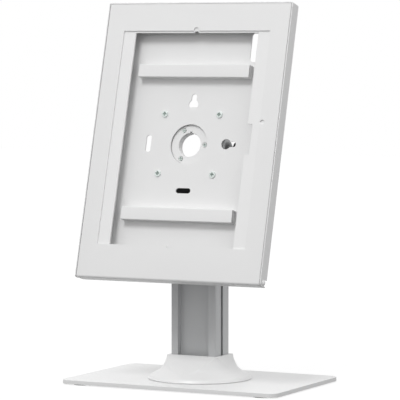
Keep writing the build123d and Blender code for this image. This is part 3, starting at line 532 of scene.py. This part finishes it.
class KIOSK_OT_column(StandOperator, bpy.types.Operator):
    """Column extrusion, its skirt and the moulded head on top"""

    bl_idname = "kiosk.column"
    bl_label = "Column, skirt and head"

    def execute(self, context):
        dressed("column_profile", "column_extrusion", 0.3, self.thin_lips)
        sizes = context.scene.kiosk_sizes
        self.skirt(sizes.skirt_diameter / 2, sizes.skirt_height)
        dressed("tilt_head", "tilt_head_moulding", 0.4)
        low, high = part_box("tilt_head_screws")
        head, rise, shank = 8 * MM, 5 * MM, 5 * MM
        repeated("tilt_head_screws", "head_screws",
                 screw_template("head_screw", head, rise, shank, high[2] - low[2] - rise, "socket"),
                 Matrix.Translation((0, 0, high[2] - rise)), grid=sizes.column_pitch)
        return {"FINISHED"}

    def thin_lips(self, across, up, depth):
        """Lips of the side slots thinned, so that the slots look black at a flat angle."""
        lip_inside, thinned_inside, near_enough = 29.1, 30.2, 0.05
        if abs(abs(across) - lip_inside) < near_enough:
            across = copysign(thinned_inside, across)
        return across, up, depth

    def skirt(self, rim_radius, height):
        """Skirt skin: a round trumpet cut by four flats, which leave a rectangle at the top and fade out below."""
        foot_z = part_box("column_skirt")[0][2]
        column_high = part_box("column_profile")[1]
        rim, bore_gap, bore_corner_cut, weld_distance = 1.6 * MM, 0.3 * MM, 1.5 * MM, 0.001 * MM
        levels, flat_steps, arc_steps, crease_degrees = 44, 7, 18, 16
        # Share of the height against the trumpet's radius in mm, and against half the angle of its front flat
        radii = ((0.0, 63.6), (0.1, 61.8), (0.2, 56.5), (0.3, 51.4), (0.4, 48.0), (0.5, 45.9), (0.6, 44.4), (0.7, 43.1),
                 (0.8, 41.95), (0.9, 41.2), (1.0, 40.9))
        flats = ((0.0, 0.0), (0.24, 0.0), (0.3, 6.5), (0.35, 11.5), (0.4, 16.0), (0.5, 25.0), (0.6, 31.8), (0.7, 37.5),
                 (0.8, 43.0), (0.9, 49.6), (1.0, 56.6))
        # At the top the side flat ends where the front flat does, on the corner
        side_share = 32.6 / 56.6
        least_angle = radians(3)

        def outline(half_width, half_depth, radius, z):
            """A circle cut by flats; points crowd on the creases, where the flats end."""
            side, front = (max(least_angle, acos(min(1.0, half / radius))) for half in (half_width, half_depth))
            angles = [side * n / flat_steps for n in range(flat_steps)]
            angles += [side + (pi / 2 - front - side) * n / arc_steps for n in range(arc_steps)]
            angles += [pi / 2 - front * (1 - n / flat_steps) for n in range(flat_steps)]
            points = []
            # Every second quarter is a mirror image, so its angles run backwards
            mirrored = [pi / 2 - angle for angle in reversed(angles + [pi / 2])][:-1]
            for k in range(4):
                for angle in mirrored if k % 2 else angles:
                    from_side = pi / 2 - angle if k % 2 else angle
                    reach = min(radius, half_width / max(1e-9, cos(from_side)),
                                half_depth / max(1e-9, sin(from_side)))
                    around = angle + pi / 2 * k
                    points.append((reach * cos(around), reach * sin(around), z))
            return points

        def level(share, inset=0.0, lift=0.0):
            radius, front = smooth_through(radii, share) * MM, radians(max(0.0, smooth_through(flats, share)))
            return outline(radius * cos(front * side_share) - inset, radius * cos(front) - inset, radius - inset,
                           foot_z + rim + share * (height - rim) + lift)

        # The rim is undercut, so that a line of shadow parts it from the plate: steps inwards and heights in mm
        rim_profile = ((6, 0), (1.3, 0), (1.1, 0.15), (0.12, 0.8), (0, 0.95), (0, 1.15), (0.15, 1.45), (0.5, 1.6))
        circle = [outline(*[rim_radius - inwards * MM] * 3, foot_z + z * MM) for inwards, z in rim_profile]
        skin = [level(k / levels) for k in range(levels)]
        edge, edge_share = 0.5 * MM, 0.3
        shoulder = [level(1.0, 0.0, -edge), level(1.0, edge * edge_share, -edge * edge_share), level(1.0, edge)]
        bore_size = Vector((column_high[0] + bore_gap, column_high[1] + bore_gap))
        bore = [outline(*bore_size, bore_size.length - bore_corner_cut, z) for z in (foot_z + height, foot_z)]
        rings = circle + skin + shoulder + bore
        work = bmesh.new()
        made = [[work.verts.new(point) for point in ring] for ring in rings]
        count = len(made[0])
        for lower, upper in zip(made, made[1:] + made[:1]):
            for k in range(count):
                after = (k + 1) % count
                work.faces.new((lower[k], lower[after], upper[after], upper[k]))
        bmesh.ops.remove_doubles(work, verts=work.verts, dist=weld_distance)
        piece = add_object("column_skirt_moulding", closed_mesh("column_skirt_moulding", work, crease_degrees),
                           frame["nodes"]["column_skirt"]["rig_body"], slot_class("column_skirt"))
        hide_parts("column_skirt")


class KIOSK_OT_tilt(StandOperator, bpy.types.Operator):
    """Tilt bracket with its pivots, washers, knob and lever"""

    bl_idname = "kiosk.tilt"
    bl_label = "Tilt bracket and pivots"

    def execute(self, context):
        dressed("tilt_bracket", "tilt_bracket_folded", 0.3)
        dressed("pivot_bolts", "pivot_hex_bolts", 0.2)
        dressed("nylon_washers", "nylon_friction_washers")
        dressed("pivot_washers", "steel_pivot_washers", 0.15)
        dressed("left_knob", "left_hand_knob", 0.4)
        dressed("clamp_lever", "clamping_lever", 0.6, self.stout_lever)
        return {"FINISHED"}

    def stout_lever(self, across, up, depth):
        """The lever's arm made thicker, with a broader tip that leans less."""
        panel_lean, near_enough = 15, 0.05
        arm_inside, thicker, hub_reach = 7.2, 1.9, 20
        reach, lean, wanted_reach, wanted_lean, tip_growth = 32.5, 27, 30.5, 20, 8 / 6
        pivot = to_panel_mm(joints["clamp_lever_turn"]["pos_m"])
        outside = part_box("clamp_lever")[1][0] / MM
        if abs(across - (outside - arm_inside)) < near_enough:
            across -= thicker
        rise, back = up - pivot.y, depth + pivot.z
        if hypot(rise, back) > hub_reach:
            turned, wanted = radians(lean + panel_lean), radians(wanted_lean + panel_lean)
            rise = wanted_reach * cos(wanted) + (rise - reach * cos(turned)) * tip_growth
            back = -wanted_reach * sin(wanted) + (back + reach * sin(turned)) * tip_growth
        return across, rise + pivot.y, back - pivot.z


class KIOSK_OT_hub(StandOperator, bpy.types.Operator):
    """Hub ring, its screws and rings, and the mounting plate that turns on it"""

    bl_idname = "kiosk.hub"
    bl_label = "Hub and mounting plate"

    def execute(self, context):
        dressed("hub_ring", "hub_ring_coated", 0.15)
        sizes = context.scene.kiosk_sizes
        hub_face = depth_of("hub_ring")
        hub_head, hub_shank, proud, hub_count = 4.8 * MM, 3.4 * MM, 0.05 * MM, 3
        repeated("hub_screws", "hub_countersunk_screws",
                 screw_template("hub_screw", hub_head, 0, hub_shank, depth_of("hub_screws", far=True) - hub_face,
                                broad=1.25),
                 facing_front(hub_face - proud), ring=(sizes.hub_circle, hub_count))
        dressed("friction_rings", "nylon_friction_rings")
        dressed("turn_stop_pin", "hardened_stop_pin", 0.2)
        dressed("vesa_plate", "mounting_plate_coated", 0.2, self.tall_plate)
        rise, shank, nut_width, nut_height = 2 * MM, 4 * MM, 7 * MM, 3 * MM
        seat = depth_of("vesa_screws") + rise
        length = depth_of("vesa_screws", far=True) - seat
        square = (sizes.mounting_pitch, sizes.mounting_pitch)
        repeated("vesa_screws", "mounting_screws",
                 screw_template("mounting_screw", sizes.mounting_head, rise, shank, length),
                 facing_front(seat), grid=square)
        repeated("vesa_nuts", "mounting_nuts", nut_template("mounting_nut", nut_width, nut_height, shank),
                 facing_back(depth_of("vesa_nuts")), grid=square)
        return {"FINISHED"}

    def tall_plate(self, across, up, depth):
        """The mounting plate a little narrower and taller than square."""
        outer_part, narrower, taller = 40, 0.7, 2.2
        if abs(across) > outer_part:
            across = copysign(abs(across) - narrower, across)
        if abs(up) > outer_part:
            up = copysign(abs(up) + taller, up)
        return across, up, depth


class KIOSK_OT_enclosure(StandOperator, bpy.types.Operator):
    """Tray, hinge rivets, bars and their fixings"""

    bl_idname = "kiosk.enclosure"
    bl_label = "Enclosure tray and bars"

    def execute(self, context):
        sizes = context.scene.kiosk_sizes
        dressed("back_tray", "back_tray_coated", 0.2, self.tray_shape)
        self.hinge_rivets()
        dressed("upper_bar", "upper_bar_coated", 0.15)
        dressed("lower_bar", "lower_bar_coated", 0.15)
        self.bar_end_tabs(sizes.bar_pitch[1] / 2)
        dressed("bar_posts", "bar_clinch_posts")
        seat = depth_of("back_tray", far=True)
        head, rise, shank = 6 * MM, 1.8 * MM, 3 * MM
        repeated("bar_screws", "bar_pan_screws",
                 screw_template("bar_screw", head, rise, shank, seat - depth_of("bar_screws")),
                 facing_back(seat), grid=sizes.bar_pitch)
        return {"FINISHED"}

    def tray_shape(self, across, up, depth):
        """Keyholes and slot moved a little, wider keyhole slots, and squarer hinge lugs."""
        keyhole_half, neck_half, neck_growth, neck_start = 7, 3.2, 3.5 / 3.1, 12
        right_keyhole, right_up, right_shift = 45, 1, -1.5
        top_keyhole, top_shift, keyhole_length = 42, 0.7, 22
        slot_x, wanted_slot_x, slot_growth, slot_shrink = -54.3, -55.8, 7 / 5.5, 21 / 22
        if right_keyhole < across < right_keyhole + keyhole_length and abs(up - right_up) < keyhole_half:
            if across > right_keyhole + neck_start and abs(up - right_up) < neck_half:
                up = right_up + (up - right_up) * neck_growth
            across += right_shift
        elif abs(across) < keyhole_half and top_keyhole < up < top_keyhole + keyhole_length:
            if up > top_keyhole + neck_start and abs(across) < neck_half:
                across *= neck_growth
            up += top_shift
        elif abs(across - slot_x) < 4 and abs(up) < 12:
            across = (across - slot_x) * slot_growth + wanted_slot_x
            up *= slot_shrink
        # The round nose of each lug is drawn out towards the corners of its square
        lug_top, lug_half, lug_reach, pivot_hole = -164.4, 4, 7.1, 3
        hinge = to_panel_mm(joints["cover_hinge"]["pos_m"])
        ahead, below = depth + hinge.z, hinge.y - up
        if up < lug_top and ahead < 0 and hypot(ahead, below) > pivot_hole:
            share = sqrt(min(1.0, -ahead / lug_half)) if below > 0 else 1.0
            ahead, below = -lug_reach * share, lug_half * sqrt(min(1.0, below / lug_half)) if below > 0 else below
        return across, hinge.y - below, ahead - hinge.z

    def bar_end_tabs(self, bar_offset):
        """Tabs folded in at the ends of both bars, which close their hollow."""
        half_length, half_width, near, far, sheet = 76.0 * MM, 6.75 * MM, 6.15 * MM, 16.15 * MM, 1.2 * MM
        broken_edge = 0.15 * MM
        work = bmesh.new()
        for end in (1, -1):
            for middle in (bar_offset, -bar_offset):
                place = Matrix.Translation((end * (half_length - sheet / 2), middle, -(near + far) / 2))
                size = Matrix.Diagonal((sheet, 2 * half_width, far - near, 1))
                bmesh.ops.create_cube(work, size=1, matrix=place @ size)
        bmesh.ops.bevel(work, geom=work.edges, offset=broken_edge, segments=1, affect="EDGES")
        mesh = closed_mesh("bar_end_tabs", work)
        mesh.transform(panel_matrix)
        add_object("bar_end_tabs", mesh, "enclosure", "white_steel")

    def hinge_rivets(self):
        """Two domed rivets, painted with the tray, that the cover swings on."""
        hinge = Vector(joints["cover_hinge"]["pos_m"])
        lug_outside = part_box("back_tray")[1][0]
        head, shank, tail, tail_height = 3.1 * MM, 2.0 * MM, 2.5 * MM, 1.0 * MM
        cylinder, dome_height, dome_steps, segments = 0.4 * MM, 2.0 * MM, 10, 40
        cover_side, cover_sheet = 121.55 * MM, 1.3 * MM
        inner = cover_side - cover_sheet - lug_outside
        angles = [pi / 2 * k / dome_steps for k in range(dome_steps + 1)]
        profile = [(head * sin(angle), cylinder + dome_height * cos(angle)) for angle in angles]
        profile += [(head, 0), (shank, 0), (shank, inner), (tail, inner), (tail, inner - tail_height),
                    (0, inner - tail_height)]
        work = bmesh.new()
        for side in (1, -1):
            rivet = bmesh.new()
            lathe(rivet, profile, segments)
            mesh = bpy.data.meshes.new("rivet")
            rivet.to_mesh(mesh)
            rivet.free()
            mesh.transform(Matrix.Translation((side * lug_outside, hinge.y, hinge.z))
                           @ Matrix.Rotation(side * pi / 2, 4, "Y"))
            work.from_mesh(mesh)
            bpy.data.meshes.remove(mesh)
        piece = add_object("hinge_rivets", closed_mesh("hinge_rivets", work),
                           frame["nodes"]["cover_hinge_rivets"]["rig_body"], "white_steel")
        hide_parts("cover_hinge_rivets")


class KIOSK_OT_cover(StandOperator, bpy.types.Operator):
    """Front cover and the strips behind it"""

    bl_idname = "kiosk.cover"
    bl_label = "Front cover and strips"

    def execute(self, context):
        dressed("front_cover", "front_cover_coated", 0.25, self.wide_notch)
        dressed("left_strip", "left_strip_extruded", 0.2)
        dressed("right_strip", "right_strip_extruded", 0.2)
        self.top_strip()
        return {"FINISHED"}

    def wide_notch(self, across, up, depth):
        """A little larger camera notch, and edges that leave only a narrow gap to the tray."""
        side_part, wider, top_part, taller = 120, 0.2, 170, 0.25
        if abs(across) > side_part:
            across += copysign(wider, across)
        if up > top_part:
            up += taller
        notch_half, notch_low, notch_high, growth = 3.2, 139.3, 143.2, 3.5 / 3
        round_start, centre, wanted_centre = 139.4, 140.05, 140.25
        if abs(across) < notch_half and notch_low < up < notch_high:
            across *= growth
            if up > round_start:
                up = wanted_centre + (up - centre) * growth
        return across, up, depth

    def top_strip(self):
        """Strip behind the opening's top edge, which shows below it, with an arch for the tablet's camera."""
        half, low, top, near, far = 84.5, 137.15, 146.0, 1.5, 4.0
        arch_radius, arch_centre, arch_steps = 3.5, 135.85, 16
        start = sqrt(arch_radius ** 2 - (low - arch_centre) ** 2)
        sweep = [(-start + 2 * start * k / arch_steps) for k in range(arch_steps + 1)]
        outline = [(-half, top), (-half, low)]
        outline += [(x, arch_centre + sqrt(max(0.0, arch_radius ** 2 - x * x))) for x in sweep]
        outline += [(half, low), (half, top)]
        work = bmesh.new()
        face = work.faces.new([work.verts.new((x * MM, up * MM, -near * MM)) for x, up in outline])
        grown = bmesh.ops.extrude_face_region(work, geom=[face])
        moved = [item for item in grown["geom"] if isinstance(item, bmesh.types.BMVert)]
        bmesh.ops.translate(work, verts=moved, vec=(0, 0, -(far - near) * MM))
        mesh = closed_mesh("top_strip_extruded", work)
        mesh.transform(panel_matrix)
        add_object("top_strip_extruded", mesh, "cover", "white_plastic")


class KIOSK_OT_lock(StandOperator, bpy.types.Operator):
    """Cam lock in the back of the tray"""

    bl_idname = "kiosk.lock"
    bl_label = "Cam lock"

    def execute(self, context):
        dressed("lock_body", "lock_barrel", 0.2)
        dressed("lock_nut", "lock_hex_nut", 0.2)
        dressed("lock_plug", "lock_key_plug", 0.15)
        dressed("lock_cam", "lock_cam_plate", 0.15)
        dressed("cam_screw", "lock_cam_screw")
        return {"FINISHED"}


def seen_by(tree, kinds):
    """One for the kinds of ray that are given, and zero for the others."""
    path = put(tree, "ShaderNodeLightPath")
    seen = path.outputs[f"Is {kinds[0]} Ray"]
    for kind in kinds[1:]:
        seen = put(tree, "ShaderNodeMath", {0: seen, 1: path.outputs[f"Is {kind} Ray"]},
                   operation="MAXIMUM").outputs[0]
    return seen


class KIOSK_OT_stage(StandOperator, bpy.types.Operator):
    """Floor, lamps and the camera at the photograph's angle"""

    bl_idname = "kiosk.stage"
    bl_label = "Stage"

    def execute(self, context):
        settings = context.scene.kiosk_stage
        scene = context.scene
        scene.view_settings.view_transform = "Standard"
        self.make_world(scene, settings.horizon, settings.zenith)
        self.make_floor(settings.floor_size)
        self.make_lamps(settings.key_power, settings.side_power)
        self.make_camera(scene)
        return {"FINISHED"}

    def make_world(self, scene, horizon, zenith):
        """Soft sky that is brighter overhead, and plain white where it is seen."""
        world = bpy.data.worlds.new("studio")
        world.use_nodes = True
        tree = world.node_tree
        tree.nodes.clear()
        height = put(tree, "ShaderNodeSeparateXYZ", {0: put(tree, "ShaderNodeTexCoord").outputs["Generated"]})
        level = put(tree, "ShaderNodeMapRange", {"Value": height.outputs["Z"], "To Min": horizon, "To Max": zenith})
        light = put(tree, "ShaderNodeBackground", {"Color": (1, 1, 1, 1), "Strength": level.outputs["Result"]})
        white = put(tree, "ShaderNodeBackground", {"Color": (1, 1, 1, 1), "Strength": 1.0})
        mixed = put(tree, "ShaderNodeMixShader", {
            0: seen_by(tree, ("Camera", "Glossy", "Transmission")), 1: light.outputs[0], 2: white.outputs[0]})
        put(tree, "ShaderNodeOutputWorld", {"Surface": mixed.outputs[0]})
        scene.world = world

    def make_floor(self, size):
        """Pale floor: white where the camera sees it unshaded, and the object's shadow where it falls."""
        mesh = bpy.data.meshes.new("studio_floor")
        half = size / 2
        mesh.from_pydata([(-half, -half, 0), (half, -half, 0), (half, half, 0), (-half, half, 0)], [], [(0, 1, 2, 3)])
        floor = bpy.data.objects.new("studio_floor", mesh)
        bpy.context.scene.collection.objects.link(floor)
        material = bpy.data.materials.new("studio_floor_paper")
        material.use_nodes = True
        tree = material.node_tree
        tree.nodes.clear()
        # The glow makes up what the dull paper lacks, so its unshaded part comes out pure white
        grey, glow_strength = 0.2, 0.84
        lift = put(tree, "ShaderNodeMath", {0: seen_by(tree, ("Camera", "Glossy")), 1: glow_strength},
                   operation="MULTIPLY")
        paper = put(tree, "ShaderNodeBsdfDiffuse", {"Color": (grey, grey, grey, 1)})
        glow = put(tree, "ShaderNodeEmission", {"Color": (1, 1, 1, 1), "Strength": lift.outputs[0]})
        mixed = put(tree, "ShaderNodeAddShader", {0: paper.outputs[0], 1: glow.outputs[0]})
        put(tree, "ShaderNodeOutputMaterial", {"Surface": mixed.outputs[0]})
        mesh.materials.append(material)

    def make_lamps(self, key_power, side_power):
        """Two square softboxes, each placed by its azimuth from the front and its elevation."""
        target, distance = Vector((0, 0, 0.25)), 6.0
        for name, azimuth, elevation, size, power in (
            ("key_softbox", radians(-6), radians(50), 1.8, key_power),
            ("side_softbox", radians(70), radians(20), 3.0, side_power),
        ):
            data = bpy.data.lights.new(name, "AREA")
            data.energy = power
            data.size = size
            lamp = bpy.data.objects.new(name, data)
            bpy.context.scene.collection.objects.link(lamp)
            way = Vector((sin(azimuth) * cos(elevation), -cos(azimuth) * cos(elevation), sin(elevation)))
            lamp.location = target + way * distance
            lamp.rotation_euler = (-way).to_track_quat("-Z", "Y").to_euler()

    def make_camera(self, scene):
        """Camera fitted to the photograph: it looks a little down, from the front right."""
        looks_down, azimuth = radians(3.4565), radians(27.2146)
        data = bpy.data.cameras.new("photo_camera")
        data.lens = 231.91
        data.sensor_width = 36.0
        data.clip_end = 50
        camera = bpy.data.objects.new("photo_camera", data)
        scene.collection.objects.link(camera)
        camera.location = (1.45374, -2.82702, 0.41957)
        camera.rotation_euler = (pi / 2 - looks_down, 0, azimuth)
        scene.camera = camera


class KIOSK_PT_panel(bpy.types.Panel):
    """Lists the stand's pieces in the sidebar"""

    bl_label = "Kiosk Stand"
    bl_idname = "KIOSK_PT_panel"
    bl_space_type = "VIEW_3D"
    bl_region_type = "UI"
    bl_category = "Kiosk Stand"

    def draw(self, context):
        layout = self.layout
        for group in (context.scene.kiosk_colours, context.scene.kiosk_sizes, context.scene.kiosk_stage):
            for key in group.bl_rna.properties.keys():
                if key not in ("rna_type", "name"):
                    layout.prop(group, key)
        for operator in operators:
            layout.operator(operator.bl_idname)


operators = (
    KIOSK_OT_base, KIOSK_OT_column, KIOSK_OT_tilt, KIOSK_OT_hub, KIOSK_OT_enclosure, KIOSK_OT_cover,
    KIOSK_OT_lock, KIOSK_OT_stage,
)
classes = (KIOSK_PG_colours, KIOSK_PG_sizes, KIOSK_PG_stage) + operators + (KIOSK_PT_panel,)


def register():
    for entry in classes:
        bpy.utils.register_class(entry)
    bpy.types.Scene.kiosk_colours = bpy.props.PointerProperty(type=KIOSK_PG_colours)
    bpy.types.Scene.kiosk_sizes = bpy.props.PointerProperty(type=KIOSK_PG_sizes)
    bpy.types.Scene.kiosk_stage = bpy.props.PointerProperty(type=KIOSK_PG_stage)


def unregister():
    del bpy.types.Scene.kiosk_stage
    del bpy.types.Scene.kiosk_sizes
    del bpy.types.Scene.kiosk_colours
    for entry in reversed(classes):
        bpy.utils.unregister_class(entry)


def main():
    register()
    colours = bpy.context.scene.kiosk_colours
    materials.update(make_materials({key: getattr(colours, key) for key in ("coat", "moulding", "strip", "column")}))
    for operator in operators:
        module, name = operator.bl_idname.split(".")
        getattr(getattr(bpy.ops, module), name)()


if __name__ == "__main__":
    main()
